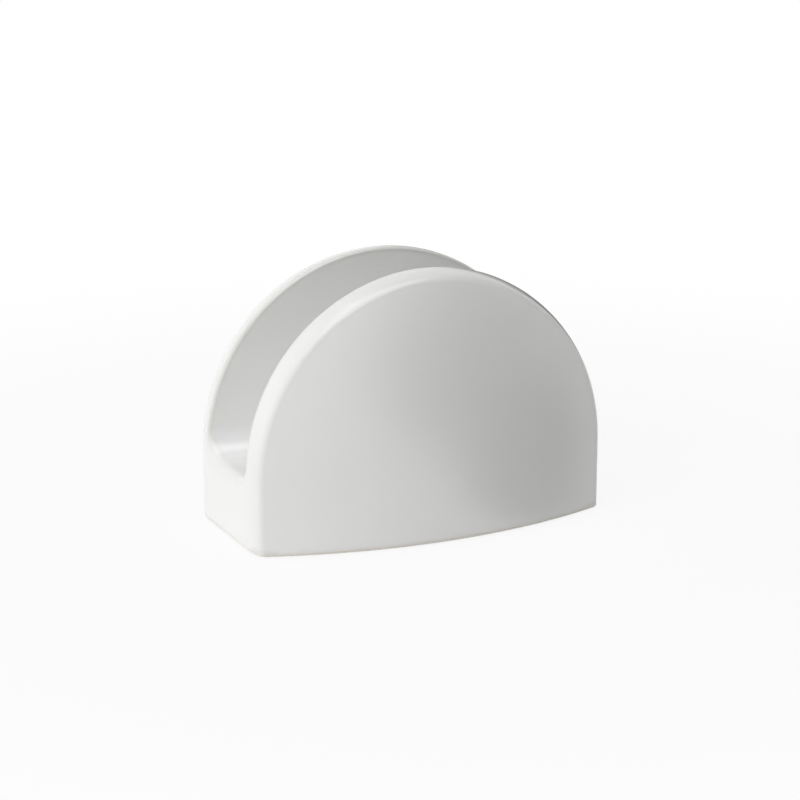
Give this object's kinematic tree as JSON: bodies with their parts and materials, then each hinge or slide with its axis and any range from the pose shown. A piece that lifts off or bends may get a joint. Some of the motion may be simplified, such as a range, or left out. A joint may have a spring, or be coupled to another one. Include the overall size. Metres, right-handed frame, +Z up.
{
  "type": "napkin holder",
  "caption": "White glazed porcelain napkin holder: two domed arched walls on a hollow foot with an open slot between them, standing on small clear pads.",
  "frame": {"origin": "middle of the footprint, on the surface that the pads stand on", "axes": "+X along the slot and the holder's length, +Y from the front wall to the back wall, +Z up; the form is symmetric about the planes x = 0 and y = 0"},
  "size_m": [0.12, 0.07, 0.0835],
  "materials": {
    "glazed_porcelain": "white porcelain under a clear gloss glaze, wiped off at the foot",
    "clear_silicone": "clear soft silicone, satin"
  },
  "bodies": {
    "root": {"body": "glazed_porcelain", "pad_front_left": "clear_silicone", "pad_front_right": "clear_silicone", "pad_back_left": "clear_silicone", "pad_back_right": "clear_silicone"}
  },
  "joints": []
}
